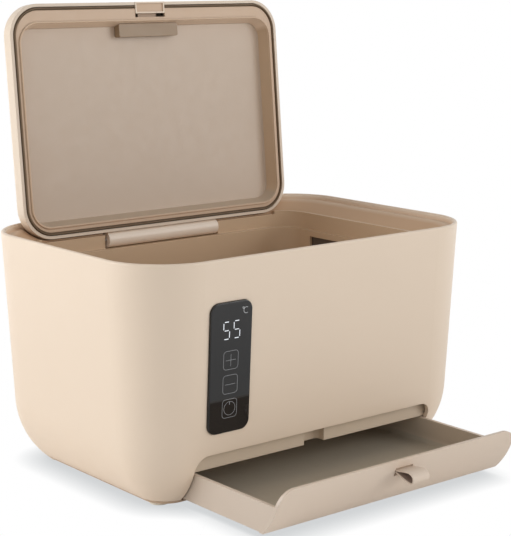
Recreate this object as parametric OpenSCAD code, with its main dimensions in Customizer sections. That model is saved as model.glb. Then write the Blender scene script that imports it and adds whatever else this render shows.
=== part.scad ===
// Countertop wipe warmer with a hinged lid and a storage drawer.
// Rest pose: lid leaning open, drawer drawn out.
// X runs along the width, the front faces -Y, Z is up, z = 0 is the surface it stands on.

/* [Housing] */
// Width across the rim
body_w = 250; // [240:1:262]
// Depth across the rim
body_d = 174; // [170:1:184]
// Height of the rim above the standing surface
rim_z = 140; // [137:1:152]
// Plan radius of the rim corners
corner_r = 38; // [35:1:42]
// Wall thickness of the outer skin
wall = 2.5; // [2.2:0.1:2.8]
// Inward lean of the walls between rim and knee
taper = 5.5; // [4.5:0.25:6.5]
// Height at which the walls start to curl under
knee_z = 38; // [37:0.5:42]
// Radius of the curl under the walls
belly_r = 50; // [48:1:56]
// Gap between the feet's underside and the base
foot_proud = 1.8; // [1.5:0.1:2.2]

/* [Drawer] */
// Height of the top edge of the drawer opening
slot_z = 31.3; // [31:0.1:33]
// Corner radius of the drawer opening
slot_r = 8; // [7:0.5:10]
// How far the drawer is drawn out in the rest pose
drawer_out = 69.5; // [40:0.5:90]
// Distance from the tray's back to the start of the rear corners
tray_end = 1; // [0:0.5:9]
// Height of the tray's side walls above the standing surface
tray_side_z = 21; // [16:0.5:21]
// Thickness of the tray's walls
tray_t = 2.2; // [1.8:0.1:2.6]
// Side clearance between drawer front and opening
front_gap = 0.8; // [0.6:0.1:1.2]
// Width of the pull strap
pull_w = 12.4; // [9:0.2:16]
// Reach of the pull strap in front of the drawer
pull_reach = 14; // [10:0.5:15]

/* [Lid] */
// Distance from the rim's outer edge to the lid at each end
lid_side = 23.6; // [22:0.2:28]
// Distance from the rim's outer edge to the lid at front and back
lid_margin = 16.7; // [16:0.1:20]
// Lid thickness
lid_t = 11.9; // [10.6:0.1:12]
// Plan radius of the lid corners
lid_r = 19.6; // [17:0.2:23]
// Radius of the lid's outer top edge
lid_round = 6; // [4.5:0.25:6.5]
// Height of the lid's underside when it is shut
lid_z = 121.2; // [121:0.1:121.6]
// Opening angle of the rest pose
lid_open = 95.4; // [90:0.1:96.6]
// Radius of the hinge barrel
barrel_r = 4.9; // [4.5:0.1:5]
// Length of the hinge barrel
barrel_l = 85; // [76:1:96]
// Radius of the hinge pin
pin_r = 1; // [0.8:0.05:1.05]
// Width of the latch tab
latch_w = 22.2; // [18:0.2:26]
// Travel of the latch tab
latch_travel = 2; // [1.2:0.1:2]

/* [Compartment] */
// Side clearance between lid and compartment wall
lid_gap = 0.8; // [0.6:0.05:1]
// Width of the step that carries the lid
ledge = 3.6; // [3:0.1:4]
// Height of that step
ledge_z = 120; // [119.6:0.1:120.1]
// Height of the compartment's upper edge
tub_top = 130.8; // [130.4:0.1:131.2]
// Height of the underside of the compartment floor
tub_floor = 56; // [55.8:0.1:62]
// Wall thickness of the compartment
tub_t = 2; // [1.8:0.1:2.2]
// Length of the vent window in each end wall
vent_l = 86; // [60:1:92]
// Height of the vent window
vent_h = 40; // [24:1:42]

/* [Control panel] */
// Width of the glossy panel
panel_w = 28; // [26:0.5:30]
// Height of the glossy panel
panel_h = 73; // [68:0.5:74]
// How far the glossy panel stands out of the wall
panel_proud = 1.5; // [0.6:0.1:2]
// Corner radius of the glossy panel
panel_r = 5.5; // [4:0.5:7]
// Distance between the panel's outer edge and the rounded corner
panel_edge = 3.5; // [1:0.25:12]
// Height of the panel's centre
panel_z = 79.8; // [78:0.2:84]
// Distance between the touch keys
key_step = 13.6; // [12:0.1:14]

/* [Heater] */
// Length of the heating plate
plate_w = 150; // [130:1:156]
// Depth of the heating plate
plate_d = 100; // [90:1:104]
// Thickness of the heating plate
plate_t = 2; // [1.5:0.1:2]

/* [Fits] */
// Gap between pieces that are seated on each other
seat = 0.2; // [0.15:0.05:0.25]
// Clearance round the hinge pin
pin_gap = 0.08; // [0.05:0.01:0.1]
// Gap at each end of the hinge barrel
barrel_gap = 1.6; // [1:0.1:2]
// Shaft radius of the screws
screw_r = 1.4; // [1.2:0.1:1.5]

/* [Hidden] */
$fn = 64;
eps = 0.01;
lean = atan(taper / (rim_z - knee_z));
base_t = 2;
base_z = foot_proud;
base_top = base_z + base_t;
shell_z = base_top + 0.1;
knee_s = corner_r - taper;
curl_s = knee_s - belly_r * cos(lean);
curl_z = knee_z + belly_r * sin(lean);
half_w = body_w / 2 - corner_r;
half_d = body_d / 2 - corner_r;
lid_w = body_w - 2 * lid_side;
lid_d = body_d - 2 * lid_margin;
tray_back = half_d - tray_end;
panel_x = half_w - panel_w / 2 - panel_edge;
rim_half = wall / cos(lean) / 2;
// inner faces of the compartment: upper band and lower part
band_w = lid_w + 2 * lid_gap;
band_d = lid_d + 3.8;
band_r = lid_r + lid_gap;
well_w = band_w - 2 * ledge;
well_d = band_d - 2 * ledge;
well_r = band_r - ledge;
// mouth of the funnel, just outside the compartment's upper edge
throat_w = band_w + 2 * tub_t + 0.6;
throat_d = band_d + 2 * tub_t + 0.6;
throat_r = band_r + tub_t + 0.3;
throat_z = tub_top - 0.8;
// lid position and hinge axis
lid_back = lid_d / 2 - 0.9;
lid_front = lid_back - lid_d;
hinge_y = band_d / 2 + pin_r + 1;
hinge_z = lid_z + 3.9;
pin_l = barrel_l + 2 * barrel_gap + 15;
// wing of the barrel inside the lid: distance from the barrel's ends and reach past the lid's edge
wing_in = 3.4;
wing_reach = 6.6;
// spring inside the barrel: length and distance from the barrel's right end
spring_l = 21.4;
spring_in = 6;
// bumps that hold the open lid: place across and height over the hinge
stop_x = 62;
stop_rise = 9.2;
pocket_w = lid_w - 2 * lid_r + 18;
pocket_z = hinge_z + 3.5;
skirt = 1.9;
groove = 2;
liner_w = lid_w - 2 * (skirt + groove);
liner_r = lid_r - skirt - groove;
liner_back = lid_back - 4;
liner_front = lid_front + 3.9;
recess_w = lid_w - 13.6;
recess_back = lid_back - 7.5;
recess_front = lid_front + 11.9;
recess_r = lid_r - 7.6;
recess_z = lid_z + lid_t - 3.5;
bead_w = recess_w + 2.8;
bead_d = recess_back - recess_front + 2.8;
recess_mid = (recess_back + recess_front) / 2;
tab_back = lid_front + 7;
// latch stem and the bar that covers its spring
stem_w = 14;
stem_end = tab_back + 8.4;
cover_w = 44.6;
cover_d = 8.4;
cover_y = recess_front + 0.9 + cover_d / 2;
// drawer and bay
slot_w = 2 * half_w + 4;
front_w = slot_w - 2 * front_gap;
tray_w = front_w - 0.8;
run_in = 26.5;
run_front = -body_d / 2 + run_in;
rib_x = 60;
front_top = slot_z - 0.6;
front_bottom = base_top + 0.5;
tray_z = base_top + 0.8;
deck_z = slot_z + 1;
deck_t = 2;
fascia_y = -body_d / 2 + 12.4;
fascia_z = tray_side_z + 0.5;
bay_x = front_w / 2 + 0.8;
pull_z = 23.6;
loop_r = 2.9;
strap_h = 3.6;
strap_t = 1.2;
anchor_w = pull_w + 2;
notch_w = anchor_w + 0.8;
notch_d = 6.3;
// feet and screw posts
foot_r = 6.1;
foot_x = half_w + 6.5;
foot_y = half_d + 2.5;
base_post_x = bay_x + 6;
base_post_y = 28;
deck_post_x = bay_x + 5.2;
deck_post_y = well_d / 2 - 12;
lug_x = throat_w / 2 + 7.4;
lug_y = 40;
heat_post_x = plate_w / 2 - 13;
heat_post_y = plate_d / 2 - 13;
board_w = 90;
board_d = 56;
board_y = 22;
board_z = deck_z + deck_t + 3.5;
inlet_edge = 13;
inlet_x = half_w - inlet_edge;
inlet_z = deck_z + 14;
// lamp, keys and pegs on the panel, measured from its centre
lamp_y = panel_h / 2 - 15.4;
lamp_w = 21;
lamp_h = 14;
key_top = 4.3;
key_r = 3.9;
peg_y = panel_h / 2 - 5.75;
lamp_board_w = panel_w - 4.5;
lamp_board_h = panel_h - 5.5;
// layers and fittings under the compartment floor
plate_r = 8;
pad_t = 5.9;
film_z = tub_floor - plate_t - 0.9;
pad_z = tub_floor - plate_t - 1.1 - pad_t;
sensor_x = 20;
sensor_r = 2.9;
fuse_w = 14;
fuse_d = 5;
// screw lengths and heads
head_r = 2.8;
head_t = 1.4;
base_screw = 9;
tub_screw = 8;
heat_screw = 6.5;

outer_housing();
compartment_tub();
drawer_bay();
base_plate();
foot_front_left();
foot_front_right();
foot_rear_left();
foot_rear_right();
base_screws();
deck_screws();
tub_screws();
heater_screws();
lid_shell();
lid_liner();
lid_seal();
latch_tab();
latch_spring();
latch_cover();
hinge_barrel();
hinge_pin();
hinge_spring();
hinge_mount_left();
hinge_mount_right();
control_panel();
display_board();
digit_display();
plus_touch_pad();
minus_touch_pad();
power_touch_pad();
side_vent_left();
side_vent_right();
heat_plate();
heating_film();
insulation_pad();
temperature_sensor();
thermal_fuse();
main_board();
power_relay();
filter_capacitor();
power_inlet();
drawer_tray();
drawer_pull();

// quarter disc in the first quadrant
module quarter(r) {
  intersection() {
    circle(r);
    square([2 * r, 2 * r]);
  }
}

// rounded rectangle, centred
module plan(w, d, r) {
  square([w - 2 * r, d], center = true);
  square([w, d - 2 * r], center = true);
  for (sx = [-1, 1])
    for (sy = [-1, 1])
      translate([sx * (w / 2 - r), sy * (d / 2 - r)])
        rotate(sx > 0 ? (sy > 0 ? 0 : 270) : (sy > 0 ? 90 : 180))
          quarter(r);
}

// rounded slab from height z0 to z1
module slab(w, d, r, z0, z1) {
  translate([0, 0, z0])
    linear_extrude(height = z1 - z0)
      plan(w, d, r);
}

// sweeps a section round a rounded rectangle; section x is the distance from the corner centre
module swept(w, d, r) {
  for (k = [0 : 3]) {
    sx = k == 0 || k == 3 ? 1 : -1;
    sy = k < 2 ? 1 : -1;
    translate([sx * (w / 2 - r), sy * (d / 2 - r), 0])
      rotate([0, 0, 90 * k])
        rotate_extrude(angle = 90, $fn = 96)
          children();
  }
  for (side = [0, 180]) {
    rotate([0, 0, side])
      translate([w / 2 - r, 0, 0])
        rotate([90, 0, 0])
          linear_extrude(height = d - 2 * r, center = true)
            children();
    rotate([0, 0, side + 90])
      translate([d / 2 - r, 0, 0])
        rotate([90, 0, 0])
          linear_extrude(height = w - 2 * r, center = true)
            children();
  }
}

// section of everything inside the outer skin, moved inward by off
module skin_section(off, z0, z1, $fn = 128) {
  zk = knee_z + off * sin(lean);
  sk = knee_s - off * cos(lean);
  // the straight part starts just inside the curl, so that the two cross once
  za = zk - 0.5;
  sa = sk - 0.01 - 0.5 * tan(lean);
  st = sk - 0.01 + (z1 - zk) * tan(lean);
  if (z1 > zk + 3)
    polygon([[0, za], [sa, za], [st, z1], [0, z1]]);
  intersection() {
    translate([curl_s, curl_z]) circle(belly_r - off);
    translate([0, z0]) square([body_w, min(zk + 3, z1) - z0]);
  }
}

// solid inside the outer skin, moved inward by off
module core(off, z0, z1) {
  swept(body_w, body_d, corner_r) skin_section(off, z0, z1);
  translate([-half_w, -half_d, z0]) cube([2 * half_w, 2 * half_d, z1 - z0]);
}

// places children on the leaning front face, z pointing out of the face
module on_front(x, z) {
  y = -body_d / 2 + (rim_z - z) * tan(lean);
  translate([x, y, z])
    rotate([90 + lean, 0, 0])
      children();
}

// turns lid pieces from the shut position to the rest pose
module opened() {
  translate([0, hinge_y, hinge_z])
    rotate([-lid_open, 0, 0])
      translate([0, -hinge_y, -hinge_z])
        children();
}

// screw with its head below, seen from the head's underside upwards
module screw(len, r = head_r, h = head_t) {
  difference() {
    cylinder(r = r, h = h);
    translate([0, 0, -eps]) cube([0.8, 3.6, 1.4], center = true);
    translate([0, 0, -eps]) cube([3.6, 0.8, 1.4], center = true);
  }
  translate([0, 0, h - eps]) cylinder(r = screw_r, h = len);
}

// section of the housing wall with a rounded lip
module wall_section() {
  zl = rim_z - rim_half;
  difference() {
    skin_section(0, shell_z, zl);
    skin_section(wall, shell_z - 1, zl + 1);
  }
  sm = corner_r - rim_half * tan(lean) - rim_half;
  translate([sm, zl])
    circle(wall / 2 + 0.02, $fn = 48);
}

// sloping mouth between the rim and the compartment
module funnel(grow, drop, rise) {
  lip = wall - 0.35;
  hull() {
    translate([0, 0, rim_z - 0.9 - drop])
      linear_extrude(height = rise)
        plan(body_w - 2 * lip + 2 * grow, body_d - 2 * lip + 2 * grow, corner_r - lip + grow, $fn = 96);
    translate([0, 0, throat_z - drop])
      linear_extrude(height = 0.1)
        plan(throat_w + 2 * grow, throat_d + 2 * grow, throat_r + grow, $fn = 96);
  }
}

module outer_housing() color([0.86, 0.79, 0.70]) {
  stop_y = hinge_y + 9.6;
  difference() {
    union() {
      swept(body_w, body_d, corner_r) wall_section();
      // skin of the sloping mouth
      difference() {
        funnel(0.5, 2.6, 0.1);
        slab(throat_w, throat_d, throat_r, throat_z - 5, throat_z + 5);
      }
      // floor and ends of the pocket that takes the open lid's back edge
      translate([-throat_w / 2 + 4, throat_d / 2 + 0.3, pocket_z - 1.6])
        cube([throat_w - 8, body_d / 2 - wall - 0.7 - throat_d / 2, 6.5]);
      // bosses for the compartment screws
      for (sx = [-1, 1])
        for (sy = [-1, 1])
          translate([sx * lug_x, sy * lug_y, ledge_z + 0.6])
            cylinder(r = 3.6, h = throat_z - ledge_z + 3);
    }
    // air space above the sloping mouth
    funnel(0, 0, 4);
    // room for the back edge of the open lid
    opened()
      translate([0, (lid_back + lid_front) / 2, 0])
        slab(lid_w + 2 * lid_gap, lid_d + 2 * lid_gap, lid_r, lid_z - 3, lid_z + lid_t + 0.5);
    // barrel clearance
    translate([-barrel_l / 2 - barrel_gap, hinge_y, hinge_z])
      rotate([0, 90, 0])
        cylinder(r = barrel_r + 0.4, h = barrel_l + 2 * barrel_gap);
    for (sx = [-1, 1])
      for (sy = [-1, 1])
        translate([sx * lug_x, sy * lug_y, ledge_z])
          cylinder(r = screw_r + 0.05, h = 8.5);
    // drawer opening
    translate([0, -half_d, 0])
      rotate([90, 0, 0])
        translate([0, 0, 1])
          linear_extrude(height = body_d)
            slot_shape();
    // shallow seat of the control panel with windows for lamp and keys
    on_front(-panel_x, panel_z) {
      translate([0, 0, -1.2])
        linear_extrude(height = 5)
          plan(panel_w + 0.3, panel_h + 0.3, panel_r + 0.15);
      translate([0, lamp_y, -5])
        linear_extrude(height = 5)
          square([lamp_w + 1, lamp_h + 1], center = true);
      for (k = [0 : 2])
        translate([0, key_top - key_step * k, -5])
          cylinder(r = key_r + 0.3, h = 5);
    }
    // inlet opening
    translate([inlet_x, body_d / 2 - 12, inlet_z])
      rotate([-90, 0, 0])
        cylinder(r = 4.3, h = 20);
    translate([inlet_x, body_d / 2 - inlet_inset(), inlet_z])
      rotate([-90, 0, 0])
        cylinder(r = 6.2, h = 8);
  }
  // bumps that hold the open lid
  for (sx = [-1, 1])
    translate([sx * stop_x - 8, stop_y, hinge_z + stop_rise])
      cube([16, body_d / 2 - wall * 0.6 - stop_y, 4]);
  // pegs behind the control panel
  on_front(-panel_x, panel_z)
    for (sy = [-1, 1])
      translate([0, sy * peg_y, -4.9])
        cylinder(r = 1.2, h = 3);
}

function inlet_inset() = (rim_z - inlet_z) * tan(lean) + 1.2;

// drawer opening as seen from the front
module slot_shape() {
  translate([0, -slot_z]) plan(slot_w, 4 * slot_z, slot_r);
}

module compartment_tub() color([0.80, 0.71, 0.60]) {
  difference() {
    union() {
      slab(well_w + 2 * tub_t, well_d + 2 * tub_t, well_r + tub_t, tub_floor, ledge_z);
      slab(band_w + 2 * tub_t, band_d + 2 * tub_t, band_r + tub_t, ledge_z - tub_t, tub_top);
      for (sx = [-1, 1])
        for (sy = [-1, 1]) {
          translate([sx * (lug_x + band_w / 2) / 2, sy * lug_y, ledge_z - tub_t / 2 + 0.4])
            cube([lug_x - band_w / 2 + 9, 9, tub_t], center = true);
          translate([sx * deck_post_x, sy * deck_post_y, deck_z + deck_t + seat])
            cylinder(r = 4, h = tub_floor - deck_z - deck_t);
          translate([sx * heat_post_x, sy * heat_post_y, pad_z])
            cylinder(r = 3, h = tub_floor - pad_z + eps);
        }
    }
    slab(well_w, well_d, well_r, tub_floor + tub_t, ledge_z + 1);
    slab(band_w, band_d, band_r, ledge_z, tub_top + 1);
    // lower back edge where the open lid stands
    translate([-pocket_w / 2, band_d / 2 - 10, pocket_z - 0.2])
      cube([pocket_w, 20, 20]);
    // opening for the hinge barrel and groove for its pin
    translate([-barrel_l / 2 - barrel_gap, band_d / 2 - 3, hinge_z - barrel_r - 0.3])
      cube([barrel_l + 2 * barrel_gap, 10, 20]);
    hinge_line(pin_r + pin_gap, pin_l + 2);
    // vent windows
    for (sx = [-1, 1])
      translate([sx * well_w / 2, 0, ledge_z - 3.8 - vent_h / 2])
        cube([10, vent_l, vent_h], center = true);
    for (sx = [-1, 1])
      for (sy = [-1, 1]) {
        translate([sx * lug_x, sy * lug_y, ledge_z - 4])
          cylinder(r = screw_r + 0.2, h = 6);
        translate([sx * deck_post_x, sy * deck_post_y, deck_z])
          cylinder(r = screw_r + 0.05, h = 12);
        translate([sx * heat_post_x, sy * heat_post_y, pad_z - 1])
          cylinder(r = screw_r + 0.05, h = heat_screw + 1.5);
      }
  }
  // rib that the latch tab snaps under
  translate([-latch_w / 2 + 4, -band_d / 2 - 0.5, lid_z + 2.4])
    cube([latch_w - 8, 1.3, 1.2]);
}

module drawer_bay() color([0.80, 0.72, 0.62]) {
  difference() {
    union() {
      // deck over the drawer
      intersection() {
        core(wall + 0.4, deck_z, deck_z + deck_t);
        translate([-body_w, fascia_y, deck_z - 1]) cube([2 * body_w, body_d - 20, 4]);
      }
      // fascia behind the opening's top edge
      translate([-bay_x - 2, fascia_y, fascia_z])
        cube([2 * bay_x + 4, 2, deck_z - fascia_z + eps]);
      // pocket behind the notch
      translate([0, fascia_y, fascia_z])
        linear_extrude(height = deck_z - fascia_z + eps)
          intersection() {
            plan(notch_w + 4, 2 * notch_d + 4, 5);
            translate([-notch_w, 0.5]) square([2 * notch_w, 2 * notch_d]);
          }
      for (sx = [-1, 1]) {
        // side walls
        translate([sx > 0 ? bay_x : -bay_x - 2, run_front, base_top + seat])
          cube([2, tray_back + 8 - run_front, deck_z - base_top - seat + eps]);
        translate([sx > 0 ? bay_x : -bay_x - 2, fascia_y, fascia_z])
          cube([2, run_front - fascia_y + 5, deck_z - fascia_z + eps]);
        // lateral guide rail and hold-down lip
        translate([sx > 0 ? tray_w / 2 + 0.4 : -bay_x - eps, run_front, tray_z + 4])
          cube([bay_x - tray_w / 2 - 0.4 + eps, tray_back + 8 - run_front, 3]);
        translate([sx > 0 ? tray_w / 2 - 1.6 : -bay_x - eps, run_front, tray_side_z + 0.4])
          cube([bay_x - tray_w / 2 + 1.6 + eps, tray_back + 8 - run_front, 1.6]);
        for (sy = [-1, 1])
          translate([sx * base_post_x, sy * base_post_y, base_top + seat])
            cylinder(r = 3.6, h = deck_z - base_top - seat + eps);
      }
      // back wall
      translate([-bay_x - 2, tray_back + 6.5, base_top + seat])
        cube([2 * bay_x + 4, 2, deck_z - base_top - seat + eps]);
      // posts of the main board
      for (sx = [-1, 1])
        for (sy = [-1, 1])
          translate([sx * (board_w / 2 - 4), board_y + sy * (board_d / 2 - 4), deck_z + deck_t - eps])
            cylinder(r = 2.6, h = board_z - deck_z - deck_t - seat);
    }
    // notch that clears the pull's anchor
    translate([0, fascia_y, fascia_z - 1])
      linear_extrude(height = deck_z - fascia_z + 1)
        plan(notch_w, 2 * notch_d, 3);
    for (sx = [-1, 1])
      for (sy = [-1, 1]) {
        translate([sx * base_post_x, sy * base_post_y, base_top - 1])
          cylinder(r = screw_r + 0.05, h = 14);
        translate([sx * deck_post_x, sy * deck_post_y, deck_z - 1])
          cylinder(r = screw_r + 0.2, h = 6);
      }
  }
  // pegs that locate the main board
  for (sx = [-1, 1])
    for (sy = [-1, 1])
      translate([sx * (board_w / 2 - 4), board_y + sy * (board_d / 2 - 4), deck_z + deck_t])
        cylinder(r = 1.2, h = board_z - deck_z - deck_t + 2.2);
}

module base_plate() color([0.78, 0.70, 0.60]) {
  difference() {
    union() {
      core(0, base_z, base_top);
      // ribs that carry the tray
      for (sx = [-1, 1])
        translate([sx * rib_x - 1.5, run_front + 2.5, base_top - eps])
          cube([3, tray_back + 1.5 - run_front, tray_z - base_top - 0.25]);
    }
    for (sx = [-1, 1])
      for (sy = [-1, 1]) {
        translate([sx * foot_x, sy * foot_y, base_z - 1])
          cylinder(r = foot_r + 0.3, h = 2.2);
        translate([sx * base_post_x, sy * base_post_y, base_z - 1])
          cylinder(r = screw_r + 0.2, h = 5);
        translate([sx * base_post_x, sy * base_post_y, base_z - 1])
          cylinder(r = 3, h = 2.1);
      }
  }
}

module foot(sx, sy) color([0.74, 0.67, 0.58])
  translate([sx * foot_x, sy * foot_y, 0])
    rotate_extrude()
      polygon([[0, 0], [foot_r - 0.8, 0], [foot_r, 0.8], [foot_r, base_z + 1], [0, base_z + 1]]);

module foot_front_left() foot(-1, -1);
module foot_front_right() foot(1, -1);
module foot_rear_left() foot(-1, 1);
module foot_rear_right() foot(1, 1);

module base_screws() color([0.75, 0.75, 0.77])
  for (sx = [-1, 1])
    for (sy = [-1, 1])
      translate([sx * base_post_x, sy * base_post_y, base_z + 0.1])
        screw(base_screw, head_r, 0.9);

module deck_screws() color([0.75, 0.75, 0.77])
  for (sx = [-1, 1])
    for (sy = [-1, 1])
      translate([sx * deck_post_x, sy * deck_post_y, deck_z - head_t - 0.1])
        screw(base_screw);

module tub_screws() color([0.75, 0.75, 0.77])
  for (sx = [-1, 1])
    for (sy = [-1, 1])
      translate([sx * lug_x, sy * lug_y, ledge_z - tub_t + 0.3 - head_t])
        screw(tub_screw);

module heater_screws() color([0.75, 0.75, 0.77])
  for (sx = [-1, 1])
    for (sy = [-1, 1])
      translate([sx * heat_post_x, sy * heat_post_y, pad_z - head_t - 0.2])
        screw(heat_screw, head_r + 1.4);

// section of the lid: skirt, rounded edge and top skin
module lid_section() {
  difference() {
    lid_outline(0);
    lid_outline(1);
  }
}

module lid_outline(inner) {
  off = inner * skirt;
  ztop = lid_z + lid_t - inner * 1.8;
  rr = lid_round - off * 0.9;
  s = lid_r - off;
  zb = lid_z - inner;
  translate([0, zb]) square([s, ztop - rr - zb]);
  translate([0, ztop - rr]) square([s - rr, rr]);
  translate([s - rr, ztop - rr]) quarter(rr);
}

module lid_shell() color([0.87, 0.80, 0.71])
  opened()
    difference() {
      translate([0, (lid_back + lid_front) / 2, 0]) {
        swept(lid_w, lid_d, lid_r) lid_section();
        translate([-lid_w / 2 + lid_r, -lid_d / 2 + lid_r, lid_z + lid_t - 1.8])
          cube([lid_w - 2 * lid_r, lid_d - 2 * lid_r, 1.8]);
      }
      // clearance round the hinge barrel and slot for its leaf
      translate([-barrel_l / 2 - 0.4, hinge_y, hinge_z])
        rotate([0, 90, 0])
          cylinder(r = barrel_r + 0.25, h = barrel_l + 0.8);
      translate([-barrel_l / 2 + wing_in - 0.4, lid_back - 4, hinge_z + 1.1])
        cube([barrel_l - 2 * (wing_in - 0.4), 8, 1.9]);
      // opening for the latch tab
      translate([-latch_w / 2 - 0.3, lid_front - 1, lid_z - 1])
        cube([latch_w + 0.6, 4, 3.2]);
    }

module lid_liner() color([0.79, 0.69, 0.58])
  opened()
    difference() {
      union() {
        // flat band and its outer wall
        translate([0, (liner_back + liner_front) / 2, 0]) {
          slab(liner_w, liner_back - liner_front, liner_r, lid_z + 0.2, lid_z + 1.6);
          slab(liner_w, liner_back - liner_front, liner_r, lid_z + 1.5, lid_z + 4.6);
          slab(liner_w + 3.6, liner_back - liner_front + 3.6, liner_r + 1.8, lid_z + 3.4, lid_z + 4.8);
        }
        // bead round the recess
        translate([0, recess_mid, 0])
          swept(bead_w, bead_d, recess_r + 1.4)
            translate([recess_r + 0.1, lid_z + 0.4])
              bead_section();
        // back of the recess
        translate([0, recess_mid, 0])
          dish(1.4, lid_z + 1, recess_z + 1.3);
      }
      // recess
      translate([0, recess_mid, 0])
        dish(0, lid_z - 2, recess_z);
      // hollow behind the band
      translate([0, (liner_back + liner_front) / 2, 0])
        difference() {
          slab(liner_w - 2.8, liner_back - liner_front - 2.8, liner_r - 1.4, lid_z + 1.6, lid_z + 8);
          translate([0, recess_mid - (liner_back + liner_front) / 2, 0])
            dish(1.4, lid_z + 1, recess_z + 1.3);
        }
      // opening for the latch tab and its stem
      translate([-latch_w / 2 - 0.2, lid_front, lid_z - 1])
        cube([latch_w + 0.4, tab_back + latch_travel + 0.3 - lid_front, 3.1]);
      translate([-stem_w / 2 - 0.4, lid_front, lid_z - 1])
        cube([stem_w + 0.8, tab_back + latch_travel + 0.3 - lid_front, 6.9]);
      translate([-stem_w / 2 - 0.4, lid_front, lid_z + 3.5])
        cube([stem_w + 0.8, 17, 2.2]);
    }

module bead_section() {
  square([1.2, 0.6]);
  translate([0.6, 0]) intersection() {
    circle(0.6 + 0.5, $fn = 24);
    translate([-0.6, -2]) square([1.2, 2]);
  }
}

// recess of the lid liner with leaning walls
module dish(grow, z0, z1) {
  w = recess_w + 2 * grow;
  d = recess_back - recess_front + 2 * grow;
  r = recess_r + grow;
  k = 0.3;
  full = r - (lid_z - z0) * -k;
  s0 = r - (z0 - lid_z) * k;
  s1 = r - (z1 - lid_z) * k;
  swept(w, d, r)
    polygon([[0, z0], [s0, z0], [s1, z1], [0, z1]]);
  translate([-w / 2 + r, -d / 2 + r, z0]) cube([w - 2 * r, d - 2 * r, z1 - z0]);
}

module lid_seal() color([0.36, 0.30, 0.25])
  opened()
    difference() {
      translate([0, (lid_back + lid_front) / 2, 0])
        swept(lid_w, lid_d, lid_r)
          translate([lid_r - skirt - groove, 0])
            polygon([[0.2, lid_z + 1.1], [0.65, lid_z + 1.1], [0.8, lid_z - 0.8], [1.2, lid_z - 0.8],
              [1.35, lid_z + 1.1], [1.8, lid_z + 1.1], [1.8, lid_z + 3.2], [0.2, lid_z + 3.2]]);
      translate([-latch_w / 2 - 0.4, lid_front, lid_z - 2])
        cube([latch_w + 0.8, tab_back - lid_front + 1, lid_t]);
    }

module latch_tab() color([0.86, 0.79, 0.69])
  opened()
    difference() {
      union() {
        translate([-latch_w / 2, lid_front - 0.1, lid_z - 0.2])
          cube([latch_w, tab_back - lid_front + 0.1, 2]);
        translate([-stem_w / 2, tab_back - 2, lid_z + 1])
          cube([stem_w, 2, 4.4]);
        translate([-stem_w / 2, tab_back - 1, lid_z + 3.8])
          cube([stem_w, stem_end - tab_back + 1, 1.6]);
      }
      translate([-latch_w / 2 + 1, lid_front + 0.8, lid_z - 1])
        cube([latch_w - 2, tab_back - lid_front - 1.8, 1.6]);
    }

module latch_cover() color([0.76, 0.67, 0.57])
  opened()
    difference() {
      intersection() {
        translate([0, cover_y, 0])
          slab(cover_w, cover_d, 1.4, lid_z + 2.8, recess_z - seat);
        translate([0, recess_mid, 0])
          dish(-seat, lid_z + 1, recess_z + 1);
      }
      translate([0, cover_y + 0.5, 0])
        slab(cover_w - 2.4, cover_d - 3.4, 0.6, lid_z + 3.4, recess_z + 1);
      translate([-stem_w / 2 - 0.4, cover_y - cover_d / 2 - 1, lid_z + 3.5])
        cube([stem_w + 0.8, 5, 2.2]);
    }

module latch_spring() color([0.8, 0.8, 0.82])
  opened()
    translate([0, stem_end + 0.15, lid_z + 4.85])
      rotate([-90, 0, 0])
        bellows(cover_y + cover_d / 2 - 1.2 - 0.3 - stem_end, 0.6, 1, 3);

// corrugated sleeve standing in for a coil spring
module bellows(len, r0, r1, n) {
  step = len / n;
  t = 0.3;
  rotate_extrude()
    polygon(concat([for (k = [0 : n]) each [[r0 + t, k * step], if (k < n) [r1 + t, (k + 0.5) * step]]],
      [for (k = [n : -1 : 0]) each [[r0, k * step], if (k > 0) [r1, (k - 0.5) * step]]]));
}

module hinge_barrel() color([0.80, 0.75, 0.69])
  opened()
    translate([0, hinge_y, hinge_z])
      difference() {
        union() {
          translate([-barrel_l / 2, 0, 0])
            rotate([0, 90, 0])
              cylinder(r = barrel_r, h = barrel_l);
          translate([-barrel_l / 2 + wing_in, lid_back - hinge_y - wing_reach, 1.3])
            cube([barrel_l - 2 * wing_in, hinge_y - lid_back + wing_reach, 1.5]);
        }
        translate([-barrel_l / 2 - 1, 0, 0])
          rotate([0, 90, 0])
            cylinder(r = pin_r + pin_gap, h = barrel_l + 2);
        translate([barrel_l / 2 - spring_in - spring_l - 0.6, 0, 0])
          rotate([0, 90, 0])
            cylinder(r = 3.1, h = spring_l + 0.6);
      }

module hinge_pin() color([0.8, 0.8, 0.82])
  hinge_line(pin_r, pin_l);

// round bar on the hinge axis
module hinge_line(r, len)
  translate([-len / 2, hinge_y, hinge_z])
    rotate([0, 90, 0])
      cylinder(r = r, h = len);

module hinge_spring() color([0.78, 0.78, 0.8])
  opened()
    translate([barrel_l / 2 - spring_in - spring_l - 0.3, hinge_y, hinge_z])
      rotate([0, 90, 0])
        bellows(spring_l, pin_r + 0.25, pin_r + 1.2, 12);

module hinge_mount(sx) color([0.78, 0.70, 0.60])
  difference() {
    translate([sx * (barrel_l / 2 + barrel_gap + 0.3 + 4.9), hinge_y + 3.4, hinge_z - 2.6])
      cube([9.8, 6.3, 8.2], center = true);
    hinge_line(pin_r + pin_gap, pin_l + 2);
  }

module hinge_mount_left() hinge_mount(-1);
module hinge_mount_right() hinge_mount(1);

module control_panel() color([0.05, 0.05, 0.06])
  on_front(-panel_x, panel_z)
    translate([0, 0, -1.2 + seat]) {
      linear_extrude(height = 0.9 - seat + panel_proud) plan(panel_w, panel_h, panel_r);
      translate([0, 0, 0.9 - seat + panel_proud - eps])
        linear_extrude(height = 0.3 + eps) plan(panel_w - 0.6, panel_h - 0.6, panel_r - 0.3);
    }

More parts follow.
